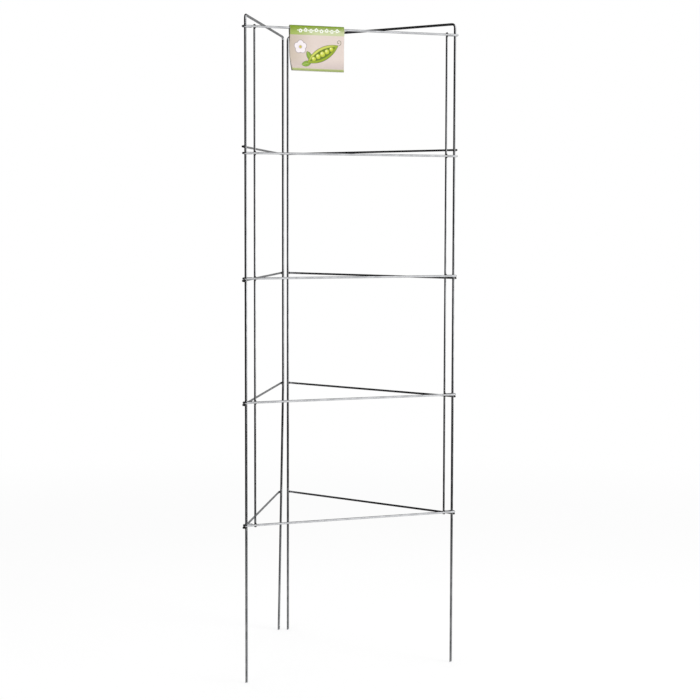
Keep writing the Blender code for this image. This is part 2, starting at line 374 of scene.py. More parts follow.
class Wire:
    """One length of wire, fed and bent from its first cut end as a bending machine does it."""

    def __init__(self, gauge, start, heading):
        self.radius = gauge / 2
        self.place = Vector(start)
        self.heading = Vector(heading).normalized()
        self.cut_heading = self.heading.copy()
        self.bm = bmesh.new()
        self.skin = self.bm.verts.layers.float_vector.new("wire_skin")
        made = bmesh.ops.create_circle(self.bm, segments=WIRE_SIDES, radius=self.radius)
        for vert in made["verts"]:
            vert[self.skin] = Vector((0, vert.co.x, vert.co.y))
        turn = UP.rotation_difference(self.heading).to_matrix().to_4x4()
        bmesh.ops.transform(self.bm, verts=self.bm.verts, matrix=Matrix.Translation(self.place) @ turn)
        self.first = list(self.bm.edges)
        self.ring = list(self.bm.edges)

    def grow(self, matrix, length):
        """One more ring of faces, its outer edge moved by a matrix, and the ring's long edges."""
        grown = bmesh.ops.extrude_edge_only(self.bm, edges=self.ring)["geom"]
        verts = [item for item in grown if isinstance(item, bmesh.types.BMVert)]
        self.ring = [item for item in grown if isinstance(item, bmesh.types.BMEdge)]
        bmesh.ops.transform(self.bm, verts=verts, matrix=matrix)
        for vert in verts:
            vert[self.skin].x += length
        self.place = matrix @ self.place
        self.heading = (matrix.to_3x3() @ self.heading).normalized()
        rim = set(self.ring)
        return [edge for vert in verts for edge in vert.link_edges if edge not in rim]

    def feed(self, length):
        """Straight wire."""
        long_edges = self.grow(Matrix.Translation(self.heading * length), length)
        cuts = round(length / FEED_STEP) - 1
        if cuts > 0:
            bmesh.ops.subdivide_edges(self.bm, edges=long_edges, cuts=cuts)

    def bend(self, toward, radius, angle):
        """Wire bent towards a direction, and a little flattened by the former on its inner side."""
        steps = max(FEWEST_BEND_STEPS, round(angle / BEND_STEP))
        inward = Vector(toward).normalized()
        centre = self.place + inward * radius
        turn = Matrix.Rotation(angle / steps, 4, self.heading.cross(inward))
        about = Matrix.Translation(centre) @ turn @ Matrix.Translation(-centre)
        flatness = 1.0
        for step in range(1, steps + 1):
            inward = turn.to_3x3() @ inward
            place = about @ self.place
            wanted = 1.0 - BEND_FLATTENING * math.sin(math.pi * step / steps)
            squash = Matrix.Scale(wanted / flatness, 4, inward)
            flatness = wanted
            flatten = Matrix.Translation(place) @ squash @ Matrix.Translation(-place)
            self.grow(flatten @ about, radius * angle / steps)

    def finish(self, name, body, node, welds, *materials):
        """Cuts both ends, marks the skin with its distance from the welds, and hangs it on its body."""
        bm = self.bm
        for ends, inward in ((self.first, self.cut_heading), (self.ring, -self.heading)):
            for vert in {vert for edge in ends for vert in edge.verts}:
                vert.co += inward * (self.radius + vert[self.skin].y) * math.tan(CUT_SLANT)
        caps = [bmesh.ops.contextual_create(bm, geom=ends)["faces"][0] for ends in (self.first, self.ring)]
        rims = [edge for cap in caps for edge in cap.edges]
        bmesh.ops.bevel(
            bm, geom=rims, offset=CUT_CHAMFER, segments=2, profile=0.5, affect="EDGES", material=-1)
        bmesh.ops.recalc_face_normals(bm, faces=bm.faces)
        burn = bm.verts.layers.float.new("weld_distance")
        for vert in bm.verts:
            vert[burn] = min([(vert.co - weld).length for weld in welds] + [FAR_FROM_WELDS])
        for face in bm.faces:
            face.smooth = True
            if len(face.verts) == WIRE_SIDES:
                face.material_index = 1
        piece = place_mesh(name, bm, *materials)
        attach(piece, body)
        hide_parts(node)


def make_group(name, inputs, outputs):
    """An empty node group with these sockets, and its two end nodes."""
    group = bpy.data.node_groups.new(name, "ShaderNodeTree")
    for way, sockets in (("INPUT", inputs), ("OUTPUT", outputs)):
        for socket, kind in sockets.items():
            group.interface.new_socket(name=socket, in_out=way, socket_type="NodeSocket" + kind)
    return group, group.nodes.new("NodeGroupInput"), group.nodes.new("NodeGroupOutput")


def use_group(tree, group):
    """A node of this group."""
    node = tree.nodes.new("ShaderNodeGroup")
    node.node_tree = group
    return node


def noise_of(tree, place, scale, detail, roughness):
    """A Noise Texture's value at a place."""
    node = tree.nodes.new("ShaderNodeTexNoise")
    node.inputs["Scale"].default_value = scale
    node.inputs["Detail"].default_value = detail
    node.inputs["Roughness"].default_value = roughness
    tree.links.new(place, node.inputs["Vector"])
    return node.outputs["Fac"]


def spread_of(tree, value, width):
    """A noise's value spread evenly about 0 over a width."""
    return maths(tree, "MULTIPLY_ADD", value, width, -width / 2)


def bump_of(tree, height, distance, under=None):
    """A Bump node's normal, over another bump if there is one."""
    node = tree.nodes.new("ShaderNodeBump")
    node.inputs["Distance"].default_value = distance
    tree.links.new(height, node.inputs["Height"])
    if under:
        tree.links.new(under, node.inputs["Normal"])
    return node.outputs["Normal"]


def make_wire_marks():
    """Drawing lines, clouds in the zinc, and the burn and the haze that a weld leaves round it."""
    outputs = {"Lines": "Float", "Clouds": "Float", "Burn": "Float", "Haze": "Float"}
    group, enter, leave = make_group("wire_marks", {}, outputs)
    skin, heat, place, stretch = add_nodes(group, "Attribute", "Attribute", "TexCoord", "Mapping")
    skin.attribute_name = "wire_skin"
    heat.attribute_name = "weld_distance"
    stretch.inputs["Scale"].default_value = LINE_STRETCH
    clouds = noise_of(group, place.outputs["Object"], *CLOUD_NOISE)
    ragged = noise_of(group, place.outputs["Object"], *MARK_NOISE)
    distance = maths(group, "ADD", spread_of(group, ragged, MARK_RAGGEDNESS), heat.outputs["Fac"])
    wire_up(
        group,
        (skin.outputs["Vector"], stretch.inputs["Vector"]),
        (noise_of(group, stretch.outputs["Vector"], *LINE_NOISE), leave.inputs["Lines"]),
        (ramp_of(group, clouds, *CLOUD_EDGES), leave.inputs["Clouds"]),
        (ramp_of(group, distance, *BURN_REACH, 1.0, 0.0), leave.inputs["Burn"]),
        (ramp_of(group, distance, *HAZE_REACH, 1.0, 0.0), leave.inputs["Haze"]),
    )
    return group


def make_zinc(marks):
    """The bright coating, dulled in clouds, hazed and burnt near the welds."""
    material, tree, output = blank_material("bright_zinc")
    wear = use_group(tree, marks)
    shader, = add_nodes(tree, "BsdfPrincipled")
    metal = blend_of(tree, wear.outputs["Clouds"], BRIGHT_ZINC, DULL_ZINC)
    hazed = blend_of(tree, maths(tree, "MULTIPLY", wear.outputs["Haze"], HAZE_COVER), metal, WHITE_HAZE)
    colour = blend_of(tree, wear.outputs["Burn"], hazed, BURNT_ZINC)
    rough = maths(tree, "MULTIPLY_ADD", wear.outputs["Clouds"], DULL_ROUGHENING, BRIGHT_ROUGHNESS)
    rough = maths(tree, "MULTIPLY_ADD", wear.outputs["Haze"], HAZE_ROUGHENING, rough)
    rough = maths(tree, "MULTIPLY_ADD", wear.outputs["Burn"], BURN_ROUGHENING, rough)
    wire_up(
        tree,
        (colour, shader.inputs["Base Color"]),
        (rough, shader.inputs["Roughness"]),
        (maths(tree, "MULTIPLY_ADD", wear.outputs["Burn"], -BURN_DULLING, 1.0), shader.inputs["Metallic"]),
        (bump_of(tree, wear.outputs["Lines"], LINE_DEPTH), shader.inputs["Normal"]),
        (shader.outputs[0], output.inputs["Surface"]),
    )
    return material


def make_cut_steel(marks):
    """A sheared end: burnished where the blade went in, torn beyond, with a breath of rust."""
    material, tree, output = blank_material("cut_steel")
    wear = use_group(tree, marks)
    skin, across, place, shader = add_nodes(tree, "Attribute", "SeparateXYZ", "TexCoord", "BsdfPrincipled")
    skin.attribute_name = "wire_skin"
    grain = noise_of(tree, place.outputs["Object"], *TORN_NOISE)
    edge = maths(tree, "ADD", across.outputs["Z"], spread_of(tree, grain, TORN_RAGGEDNESS))
    torn = ramp_of(tree, edge, *TORN_EDGE)
    rust = ramp_of(tree, noise_of(tree, place.outputs["Object"], *RUST_NOISE), *RUST_EDGES, 0.0, RUST_COVER)
    rusted = blend_of(tree, rust, blend_of(tree, torn, SHEARED_STEEL, TORN_STEEL), RUST_TINT)
    wire_up(
        tree,
        (skin.outputs["Vector"], across.inputs[0]),
        (blend_of(tree, wear.outputs["Burn"], rusted, BURNT_ZINC), shader.inputs["Base Color"]),
        (maths(tree, "MULTIPLY_ADD", torn, TORN_ROUGHENING, SHEARED_ROUGHNESS), shader.inputs["Roughness"]),
        (maths(tree, "MULTIPLY_ADD", rust, -RUST_DULLING, 1.0), shader.inputs["Metallic"]),
        (bump_of(tree, maths(tree, "MULTIPLY", grain, torn), TORN_DEPTH), shader.inputs["Normal"]),
        (shader.outputs[0], output.inputs["Surface"]),
    )
    return material


wire_marks = make_wire_marks()
zinc = make_zinc(wire_marks)
cut_steel = make_cut_steel(wire_marks)


# Wings
# Each is one wire bent twice into a tall hoop, whose legs go into the soil, and four straight
# rods welded across its outer side. The left hoop's free leg has been sprung outwards.
PANEL_WIDTH = 0.363
REAR_GAP = 0.009
HOOP_BEND_RADIUS = 0.006
WING_ANGLE = math.acos((PANEL_WIDTH - REAR_GAP) / (2 * PANEL_WIDTH))
WELD_SEAT = 0.0003
ROD_OFFSET = LEG_WIRE / 2 + WELD_SEAT + ROD_WIRE / 2
ROD_OVERHANG = 0.003
SCORCH_SHIFT = 0.0004
WING_LEVELS = (2, 3, 4, 5)
LEG_SPRING = {"left": 0.0082, "right": 0.0}
SPRUNG_LEVEL = 4
SPRING_BEND_RADIUS = 0.05
FOOT_LENGTH = 0.008
hinges = {joint["name"]: Vector(joint["pos_m"]) for joint in frame["joints"]}
weld_places = {}


def middle(node):
    """Middle of a CAD node's box."""
    low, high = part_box(node)
    return (low + high) / 2


def make_wing(side):
    """Hoop and rods of one wing, from its hinge to the back corner."""
    body = side + "_wing"
    sign = 1 if side == "left" else -1
    along = Vector((sign * math.cos(WING_ANGLE), math.sin(WING_ANGLE), 0))
    out = Vector((-sign * math.sin(WING_ANGLE), math.cos(WING_ANGLE), 0))
    hinge = hinges[body + "_hinge"].copy()
    hinge.z = 0.0
    heights = {level: middle(f"{body}_rung_{level}").z for level in WING_LEVELS}
    spring = LEG_SPRING[side]
    sprung_height = heights[SPRUNG_LEVEL]

    def spring_at(height):
        """How far out the free leg stands at a height."""
        share = (sprung_height - height) / (sprung_height - FOOT_LENGTH)
        return spring * min(1.0, max(0.0, share))

    welds = []
    for level, height in heights.items():
        seat = out * (LEG_WIRE / 2)
        front = hinge + seat + UP * height
        rear = hinge + along * PANEL_WIDTH + seat + out * spring_at(height) + UP * height
        welds += [front, rear]
        rod_front = hinge + out * ROD_OFFSET + UP * height
        rod_rear = hinge + along * PANEL_WIDTH + out * (ROD_OFFSET + spring_at(height)) + UP * height
        run = rod_rear - rod_front
        rod = Wire(ROD_WIRE, rod_front - run.normalized() * ROD_OVERHANG, run)
        rod.feed(run.length + 2 * ROD_OVERHANG)
        beyond = run.normalized() * (ROD_OVERHANG + SCORCH_SHIFT)
        scorched = [rod_front - beyond, rod_rear + beyond]
        rod.finish(f"{side}_rod_{level}", body, f"{body}_rung_{level}", scorched, zinc, cut_steel)
    weld_places[body] = [(place, out) for place in welds]

    hoop_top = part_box(body + "_hoop")[1].z
    hoop = Wire(LEG_WIRE, hinge, UP)
    hoop.feed(hoop_top - LEG_WIRE / 2 - HOOP_BEND_RADIUS)
    hoop.bend(along, HOOP_BEND_RADIUS, math.pi / 2)
    hoop.feed(PANEL_WIDTH - 2 * HOOP_BEND_RADIUS)
    hoop.bend(-UP, HOOP_BEND_RADIUS, math.pi / 2)
    hoop.feed(hoop.place.z - sprung_height)
    if spring:
        lean = math.atan2(spring, sprung_height - FOOT_LENGTH)
        hoop.bend(out, SPRING_BEND_RADIUS, lean)
        hoop.feed((hoop.place.z - FOOT_LENGTH) / math.cos(lean))
        hoop.bend(-out, SPRING_BEND_RADIUS, lean)
    hoop.feed(hoop.place.z)
    hoop.finish(f"{side}_hoop", body, body + "_hoop", welds, zinc, cut_steel)


make_wing("left")
make_wing("right")


# Centre panel
# Two short uprights with five rods welded across their front. Both ends of each rod are turned
# back round the wings' front legs, which makes ten hinge eyes.
HINGE_CLEARANCE = 0.0003
EYE_RADIUS = LEG_WIRE / 2 + HINGE_CLEARANCE + ROD_WIRE / 2
CENTRE_LEVELS = (1, 2, 3, 4, 5)
TAIL_GAP = 0.0015


def make_centre_panel():
    """Uprights first, then the rods with their eyes."""
    body = "centre_panel"
    heights = {level: middle(f"centre_rung_{level}").z for level in CENTRE_LEVELS}
    weld_places[body] = []
    for side in ("left", "right"):
        axis = middle(f"centre_stile_{side}")
        welds = [Vector((axis.x, axis.y - ROD_WIRE / 2, height)) for height in heights.values()]
        weld_places[body] += [(weld, -BACK) for weld in welds]
        low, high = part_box(f"centre_stile_{side}")
        stile = Wire(ROD_WIRE, (axis.x, axis.y, low.z), UP)
        stile.feed(high.z - low.z)
        stile.finish(f"upright_{side}", body, f"centre_stile_{side}", welds, zinc, cut_steel)

    left_hinge = hinges["left_wing_hinge"]
    half_width = -left_hinge.x
    stile_place = middle("centre_stile_right")
    tail_x = stile_place.x + ROD_WIRE / 2 + TAIL_GAP
    for level, height in heights.items():
        welds = [Vector((x, stile_place.y - ROD_WIRE / 2, height)) for x in (-stile_place.x, stile_place.x)]
        rod = Wire(ROD_WIRE, (-tail_x, left_hinge.y + EYE_RADIUS, height), -RIGHT)
        rod.feed(half_width - tail_x)
        rod.bend(-BACK, EYE_RADIUS, math.pi)
        rod.feed(2 * half_width)
        rod.bend(BACK, EYE_RADIUS, math.pi)
        rod.feed(half_width - tail_x)
        rod.finish(f"hinged_rod_{level}", body, f"centre_rung_{level}", welds, zinc, cut_steel)


make_centre_panel()


# Welds
# Each crossing is spot-welded before the panels are dipped. The squeezed-out steel sets as a small
# black lump that wraps both wires, rough with scale and spatter.
WELD_LUMP_SIZES = {
    "centre_panel": (0.0022, 0.0019, 0.0039),
    "left_wing": (0.0023, 0.0019, 0.0024),
    "right_wing": (0.0023, 0.0019, 0.0024),
}
WELD_SUBDIVISIONS = 3
WELD_LUMPINESS = 0.2
WELD_LUMPS_ACROSS = 1.6
# How far apart in the noise the shapes of two lumps, and of two bodies' lumps, are taken.
WELD_SHIFT = 7.3
BODY_SHIFT = 3.1
WELD_SCALE = (0.012, 0.011, 0.011, 1)
WELD_SCALE_NOISE = (520.0, 3.0, 0.5)
WELD_SCALE_EDGES = (0.3, 0.7)
WELD_SCALE_ROUGHNESS = (0.42, 0.7)
WELD_SCALE_DEPTH = 0.0006
WELD_SPATTER = (0.10, 0.10, 0.105, 1)
WELD_SPATTER_NOISE = (2400.0, 4.0, 0.65)
WELD_SPATTER_EDGES = (0.58, 0.70)
WELD_SPATTER_SHINE = 0.8
WELD_SPATTER_DEPTH = 0.00015


def make_weld_metal():
    """Black scale with grey spatter."""
    material, tree, output = blank_material("weld_scale")
    place, shader = add_nodes(tree, "TexCoord", "BsdfPrincipled")
    coarse = noise_of(tree, place.outputs["Object"], *WELD_SCALE_NOISE)
    fine = noise_of(tree, place.outputs["Object"], *WELD_SPATTER_NOISE)
    spatter = ramp_of(tree, fine, *WELD_SPATTER_EDGES)
    rough = ramp_of(tree, coarse, *WELD_SCALE_EDGES, *WELD_SCALE_ROUGHNESS)
    under = bump_of(tree, coarse, WELD_SCALE_DEPTH)
    wire_up(
        tree,
        (blend_of(tree, spatter, WELD_SCALE, WELD_SPATTER), shader.inputs["Base Color"]),
        (rough, shader.inputs["Roughness"]),
        (maths(tree, "MULTIPLY", spatter, WELD_SPATTER_SHINE), shader.inputs["Metallic"]),
        (bump_of(tree, fine, WELD_SPATTER_DEPTH, under), shader.inputs["Normal"]),
        (shader.outputs[0], output.inputs["Surface"]),
    )
    return material


def make_welds(body, material):
    """The lumps of one body in one mesh, each with its own shape."""
    bm = bmesh.new()
    size = Matrix.Diagonal((*WELD_LUMP_SIZES[body], 1.0))
    for index, (place, out) in enumerate(weld_places[body]):
        lump = bmesh.ops.create_icosphere(bm, subdivisions=WELD_SUBDIVISIONS, radius=1.0)["verts"]
        own = Vector((index * WELD_SHIFT, len(body) * BODY_SHIFT, 0.0))
        for vert in lump:
            vert.co *= 1.0 + WELD_LUMPINESS * noise.noise(vert.co * WELD_LUMPS_ACROSS + own)
        face = Matrix.Rotation(math.atan2(-out.x, out.y), 4, "Z")
        bmesh.ops.transform(bm, verts=lump, matrix=Matrix.Translation(place) @ face @ size)
    for face in bm.faces:
        face.smooth = True
    piece = place_mesh(body + "_welds", bm, material)
    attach(piece, body)


weld_scale = make_weld_metal()
for welded in WELD_LUMP_SIZES:
    make_welds(welded, weld_scale)


# Card
# A sheet of satin board, printed flat on its outside and left plain inside, then folded over the
# top rod so that both flaps hang together. Its lower left corner has curled forwards. The print
# carries painted shade on its left side, at its foot and along the crease, and the inside and the
# cut edge are painted dark for the shade in the fold.
CARD_WIDTH = 0.0928
CARD_SHIFT = 0.0004
CARD_DROP = 0.072
CARD_THICKNESS = 0.0005
CARD_LOOP_SLACK = 0.0007
CARD_SEAT_RADIUS = ROD_WIRE / 2 + CARD_LOOP_SLACK + CARD_THICKNESS / 2
CARD_CREASE_HEIGHT = 0.0039
CARD_CREASE_RADIUS = 0.0006
CARD_FLAPS_APART = 0.0003
CARD_HALF_GAP = (CARD_THICKNESS + CARD_FLAPS_APART) / 2
CARD_LOOP_LENGTH = 0.034
CARD_CORNER_CURL = 0.013
BACK_FLAP_CURL = 0.82
CARD_ACROSS = 0.002
CARD_DOWN = 0.001
MILLIMETRES = 1000


def ink(red, green, blue):
    """A printed colour, given as a screen shows it."""
    return tuple(((level / 255 + 0.055) / 1.055) ** 2.4 for level in (red, green, blue)) + (1,)


# The print's sizes are in millimetres, across from the sheet's left edge and down from its fold.
PRINT_SOFTNESS = 0.09


def make_disc_group():
    """Inside a printed disc."""
    inputs = {"Place": "Vector", "Centre": "Vector", "Radius": "Float"}
    group, enter, leave = make_group("print_disc", inputs, {"Inside": "Float"})
    apart, = add_nodes(group, "VectorMath")
    apart.operation = "DISTANCE"
    depth = maths(group, "SUBTRACT", enter.outputs["Radius"], apart.outputs["Value"])
    wire_up(
        group,
        (enter.outputs["Place"], apart.inputs[0]),
        (enter.outputs["Centre"], apart.inputs[1]),
        (ramp_of(group, depth, -PRINT_SOFTNESS, PRINT_SOFTNESS), leave.inputs["Inside"]),
    )
    return group


def make_leaf_group():
    """Inside a printed leaf, which two arcs bound, and the place across it."""
    inputs = {
        "Place": "Vector", "Centre": "Vector", "Angle": "Float",
        "Half Length": "Float", "Half Width": "Float"}
    group, enter, leave = make_group("print_leaf", inputs, {"Inside": "Float", "Across": "Float"})
    shift, turn, parts, arc, length = add_nodes(
        group, "VectorMath", "VectorRotate", "SeparateXYZ", "CombineXYZ", "VectorMath")
    shift.operation = "SUBTRACT"
    turn.rotation_type = "Z_AXIS"
    length.operation = "LENGTH"
    half_length, half_width = enter.outputs["Half Length"], enter.outputs["Half Width"]
    half_width_squared = maths(group, "MULTIPLY", half_width, half_width)
    squares = maths(group, "MULTIPLY_ADD", half_length, half_length, half_width_squared)
    radius = maths(group, "DIVIDE", squares, maths(group, "MULTIPLY", half_width, 2.0))
    beyond = maths(group, "SUBTRACT", radius, half_width)
    depth = maths(group, "SUBTRACT", radius, length.outputs["Value"])
    wire_up(
        group,
        (enter.outputs["Place"], shift.inputs[0]),
        (enter.outputs["Centre"], shift.inputs[1]),
        (shift.outputs["Vector"], turn.inputs["Vector"]),
        (enter.outputs["Angle"], turn.inputs["Angle"]),
        (turn.outputs["Vector"], parts.inputs[0]),
        (parts.outputs["X"], arc.inputs["X"]),
        (maths(group, "ADD", maths(group, "ABSOLUTE", parts.outputs["Y"]), beyond), arc.inputs["Y"]),
        (arc.outputs["Vector"], length.inputs[0]),
        (ramp_of(group, depth, -PRINT_SOFTNESS, PRINT_SOFTNESS), leave.inputs["Inside"]),
        (parts.outputs["Y"], leave.inputs["Across"]),
    )
    return group


class Print:
    """Colours laid one over another on the sheet."""

    def __init__(self, tree, disc, leaf):
        self.tree, self.disc, self.leaf = tree, disc, leaf
        place, parts = add_nodes(tree, "Attribute", "SeparateXYZ")
        place.attribute_name = "print_place"
        self.place = place.outputs["Vector"]
        wire_up(tree, (self.place, parts.inputs[0]))
        self.x, self.y = parts.outputs["X"], parts.outputs["Y"]
        self.colour = None

    def lay(self, inside, colour):
        """Ink where the mask is 1."""
        self.colour = blend_of(self.tree, inside, self.colour, colour)

    def disc_mask(self, centre, radius, place=None):
        """1 inside a disc."""
        node = use_group(self.tree, self.disc)
        self.tree.links.new(place or self.place, node.inputs["Place"])
        node.inputs["Centre"].default_value = (*centre, 0)
        node.inputs["Radius"].default_value = radius
        return node.outputs["Inside"]

    def lay_disc(self, centre, radius, colour):
        """A disc of ink."""
        self.lay(self.disc_mask(centre, radius), colour)

    def lay_leaf(self, centre, degrees, half_size, colour):
        """A leaf of ink, and its node."""
        node = use_group(self.tree, self.leaf)
        self.tree.links.new(self.place, node.inputs["Place"])
        node.inputs["Centre"].default_value = (*centre, 0)
        node.inputs["Angle"].default_value = -math.radians(degrees)
        node.inputs["Half Length"].default_value, node.inputs["Half Width"].default_value = half_size
        self.lay(node.outputs["Inside"], colour)
        return node


SPECKLE_NOISE = (0.55, 5.0, 0.7)
# The left buff is darker than the right: painted shade on the card's left side, fading out by 45 mm across.
SHADED_LEFT_BUFF = (ink(194, 180, 164), ink(214, 200, 186))
RIGHT_BUFF = (ink(219, 203, 194), ink(236, 222, 214))
BUFF_FADES = (0.0, 45.0)
# Painted shade: the buff darkens towards the card's foot, from 50 to 70 mm down.
SHADED_LOW_BUFF = ink(204, 189, 184)
LOW_BUFF_FADES = (50.0, 70.0)
LOW_BUFF_COVER = 0.75
# Painted shade: the green is darker still in the first two millimetres below the crease.
SHADED_FOLD_GREEN = ink(88, 112, 0)
FOLD_GREEN_FADES = (0.6, 1.8)
BAND_GREEN = ink(118, 146, 8)
BAND_GREEN_FADES = (0.8, 13.0)
# The pale green is darker at its left end: painted shade, as on the buff.
PALE_GREEN_SHADED_LEFT = (ink(166, 186, 96), ink(206, 214, 168))
PALE_GREEN_FADES = (5.0, 50.0)
BAND_END = (15.8, 15.6)
EDGE_GREEN = (ink(182, 190, 132), ink(132, 154, 70))
EDGE_GREEN_FADES = (68.6, 72.4)
EDGE_BAND_START = (68.4, 68.6)


def print_bands(sheet):
    """Speckled buff ground, a green band under the fold and a narrow one along the edge, with painted
    shade.
    """
    tree = sheet.tree
    down = maths(tree, "ABSOLUTE", sheet.y)
    speckle = noise_of(tree, sheet.place, *SPECKLE_NOISE)
    # Painted shade: the buff darkens towards the left side.
    left, right = (blend_of(tree, speckle, *buff) for buff in (SHADED_LEFT_BUFF, RIGHT_BUFF))
    ground = blend_of(tree, ramp_of(tree, sheet.x, *BUFF_FADES), left, right)
    # Painted shade at the foot.
    low = maths(tree, "MULTIPLY", ramp_of(tree, down, *LOW_BUFF_FADES), LOW_BUFF_COVER)
    sheet.colour = blend_of(tree, low, ground, SHADED_LOW_BUFF)
    # Painted shade: the pale green darkens towards the left.
    pale = blend_of(tree, ramp_of(tree, sheet.x, *PALE_GREEN_FADES), *PALE_GREEN_SHADED_LEFT)
    band = blend_of(tree, ramp_of(tree, down, *BAND_GREEN_FADES), BAND_GREEN, pale)
    # Painted shade along the crease.
    band = blend_of(tree, ramp_of(tree, down, *FOLD_GREEN_FADES), SHADED_FOLD_GREEN, band)
    sheet.lay(ramp_of(tree, down, *BAND_END), band)
    edge = blend_of(tree, ramp_of(tree, down, *EDGE_GREEN_FADES), *EDGE_GREEN)
    sheet.lay(ramp_of(tree, down, *EDGE_BAND_START), edge)


PETALS = 5
GARLAND_PITCH = 8.9
GARLAND_DOWN = 8.6
GARLAND_WAVE = 0.7
GARLAND_START = (12.0, 12.2)
GARLAND_END = (85.9, 85.7)
GARLAND_REACH = 1.75
GARLAND_PETAL = 1.45
GARLAND_BUD = 0.95
GARLAND_WHITE = ink(246, 248, 238)
GARLAND_EYE = ink(150, 174, 48)


def petals_round(centre, reach):
    """The middles of a flower's petals, the first of them straight up."""
    turns = [math.tau * step / PETALS for step in range(PETALS)]
    return [centre + reach * Vector((math.sin(turn), -math.cos(turn))) for turn in turns]


def print_garland(sheet):
    """A chain of small white blossoms with buds between them, in a soft wave along the green band."""
    tree = sheet.tree
    wave = maths(tree, "COSINE", maths(tree, "MULTIPLY", sheet.x, math.pi / GARLAND_PITCH))
    wave = maths(tree, "MULTIPLY", wave, GARLAND_WAVE)
    around, = add_nodes(tree, "CombineXYZ")
    wire_up(
        tree,
        (maths(tree, "WRAP", sheet.x, GARLAND_PITCH / 2, -GARLAND_PITCH / 2), around.inputs["X"]),
        (maths(tree, "SUBTRACT", sheet.y, wave), around.inputs["Y"]),
    )
    centre = Vector((0.0, GARLAND_DOWN))
    discs = [(petal, GARLAND_PETAL) for petal in petals_round(centre, GARLAND_REACH)]
    discs += [((side * GARLAND_PITCH / 2, GARLAND_DOWN), GARLAND_BUD) for side in (-1, 1)]
    masks = [sheet.disc_mask(*disc, around.outputs["Vector"]) for disc in discs]
    white = masks[0]
    for mask in masks[1:]:
        white = maths(tree, "MAXIMUM", white, mask)
    eye = sheet.disc_mask(centre, GARLAND_BUD, around.outputs["Vector"])
    start, end = (ramp_of(tree, sheet.x, *edges) for edges in (GARLAND_START, GARLAND_END))
    run = maths(tree, "MULTIPLY", start, end)
    sheet.lay(maths(tree, "MULTIPLY", white, run), GARLAND_WHITE)
    sheet.lay(maths(tree, "MULTIPLY", eye, run), GARLAND_EYE)


BLOSSOM_CENTRE = Vector((18.5, 34.5))
BLOSSOM_REACH = 5.6
BLOSSOM_LAYERS = ((5.4, ink(120, 98, 104)), (4.85, ink(247, 240, 243)))
BLOSSOM_EYE_LAYERS = ((3.1, ink(214, 190, 200)), (2.1, ink(206, 200, 84)))


def print_blossom(sheet):
    """A white flower with five petals."""
    for radius, colour in BLOSSOM_LAYERS:
        for petal in petals_round(BLOSSOM_CENTRE, BLOSSOM_REACH):
            sheet.lay_disc(petal, radius, colour)
    for radius, colour in BLOSSOM_EYE_LAYERS:
        sheet.lay_disc(BLOSSOM_CENTRE, radius, colour)


OUTLINE_GREEN = ink(74, 84, 32)
LEAF_PLACES = (((27.5, 61.0), -14.0), ((33.5, 49.0), 62.0))
LEAF_OUTLINE = (9.0, 4.5)
LEAF = (8.4, 4.0)
LEAF_GREEN = ink(132, 166, 58)
VEIN_EDGES = (0.35, 0.15)
VEIN_GREEN = ink(196, 210, 130)
POD_CENTRE = Vector((56.0, 45.0))
POD_TURN = -28.0
POD_OUTLINE = (30.8, 10.7)
POD = (30.1, 10.0)
POD_TIP = 30.4
POD_GREEN = ink(150, 172, 46)
LIT_POD_FADES = (1.0, -7.0)
LIT_POD_GREEN = ink(205, 212, 96)
MOUTH_OUTLINE = (24.6, 6.4)
MOUTH = (24.2, 6.0)
MOUTH_GREEN = ink(104, 130, 36)
TENDRIL_EYE = Vector((0.6, -4.8))
TENDRIL_PITCH = 3.4
TENDRIL_EDGES = (0.13, 0.09)
PEA_STEPS = (-2, -1, 0, 1, 2)
PEA_PITCH = 8.6
PEA_RADIUS = 4.8
PEA_SHRINKS = 0.4
PEA_LAYERS = (
    (Vector((0.0, 0.0)), 0.45, ink(193, 203, 62)),
    (Vector((-0.9, -1.0)), 2.0, ink(222, 227, 112)),
)
GLINT_SHIFT = Vector((-1.4, -1.5))
GLINT_RADIUS = 0.75
GLINT = ink(248, 249, 214)


def print_tendril(sheet, tip, eye):
    """A thin spiral that winds from the pod's tip in to its eye."""
    tree = sheet.tree
    shift, parts, length = add_nodes(tree, "VectorMath", "SeparateXYZ", "VectorMath")
    shift.operation = "SUBTRACT"
    shift.inputs[1].default_value = (*eye, 0)
    length.operation = "LENGTH"
    wire_up(
        tree,
        (sheet.place, shift.inputs[0]),
        (shift.outputs["Vector"], parts.inputs[0]),
        (shift.outputs["Vector"], length.inputs[0]),
    )
    start = tip - eye
    angle = maths(tree, "ARCTAN2", parts.outputs["Y"], parts.outputs["X"])
    turns = maths(tree, "SUBTRACT", angle, math.atan2(start.y, start.x))
    turns = maths(tree, "MULTIPLY", turns, 1 / math.tau)
    coils = maths(tree, "SUBTRACT", length.outputs["Value"], start.length)
    coils = maths(tree, "DIVIDE", coils, TENDRIL_PITCH)
    off_line = maths(tree, "PINGPONG", maths(tree, "SUBTRACT", coils, turns), 0.5)
    line = ramp_of(tree, off_line, *TENDRIL_EDGES)
    sheet.lay(maths(tree, "MULTIPLY", line, sheet.disc_mask(eye, start.length)), OUTLINE_GREEN)


